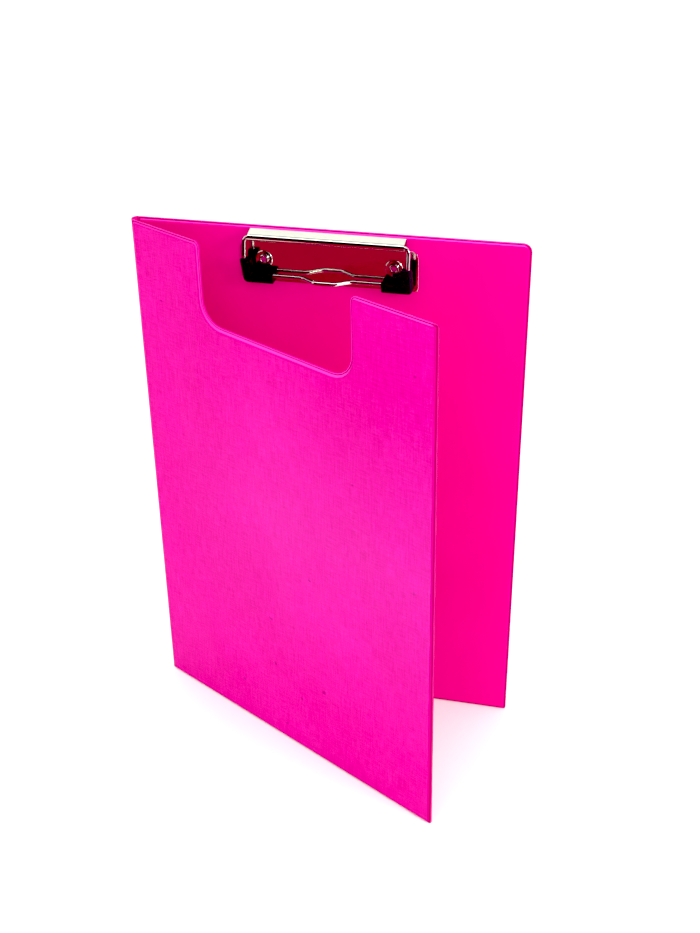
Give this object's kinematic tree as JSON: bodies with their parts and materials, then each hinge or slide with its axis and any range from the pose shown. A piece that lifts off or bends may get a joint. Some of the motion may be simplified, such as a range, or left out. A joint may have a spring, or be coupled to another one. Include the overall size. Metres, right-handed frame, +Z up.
{
  "type": "foldover clipboard",
  "caption": "Foldover clipboard with stiff film-covered covers, a creased spine, a cut-out front cover and a sprung wire-bail paper clip.",
  "frame": {"origin": "on the floor, under the middle of the bounding box of the part-open clipboard", "axes": "+Z up along the creases; +Y out of the back of the back cover, whose paper face looks along -Y; +X from the spine towards the covers' free edges"},
  "size_m": [0.2276, 0.1162, 0.32],
  "materials": {
    "outer_film": "satin",
    "inner_film": "satin",
    "weld_bead": "satin",
    "greyboard": "matte",
    "plated_sheet": "polished",
    "plated_wire": "polished",
    "plated_rivet": "polished",
    "plain_steel": "satin",
    "black_cap": "satin"
  },
  "bodies": {
    "back_cover": {"back_board_core": "greyboard", "back_inner_film": "inner_film", "back_outer_film": "outer_film", "clip_plate": "plated_sheet", "clip_rivets": "plated_rivet", "rivet_washers": "plain_steel"},
    "spine": {"spine_outer_film": "outer_film", "spine_inner_film": "inner_film", "back_crease_bead": "weld_bead", "front_crease_bead": "weld_bead"},
    "front_cover": {"front_board_core": "greyboard", "front_inner_film": "inner_film", "front_outer_film": "outer_film"},
    "bail": {"bail_wire": "plated_wire", "left_corner_cap": "black_cap", "right_corner_cap": "black_cap"}
  },
  "joints": [
    {"name": "back_crease", "type": "hinge", "parent": "back_cover", "child": "spine", "pos_m": [-0.11217, 0.05668, 0.16], "axis": [0, 0, -1], "range_deg": [-14.5, 165.5]},
    {"name": "front_crease", "type": "hinge", "parent": "spine", "child": "front_cover", "pos_m": [-0.11343, 0.05184, 0.16], "axis": [0, 0, -1], "range_deg": [-14.5, 165.5]},
    {"name": "bail_hinge", "type": "hinge", "parent": "back_cover", "child": "bail", "pos_m": [0.00083, 0.04838, 0.3154], "axis": [-1, 0, 0], "range_deg": [0, 35], "stiffness_Nm_per_rad": 0.15, "springref_deg": -28.65}
  ]
}
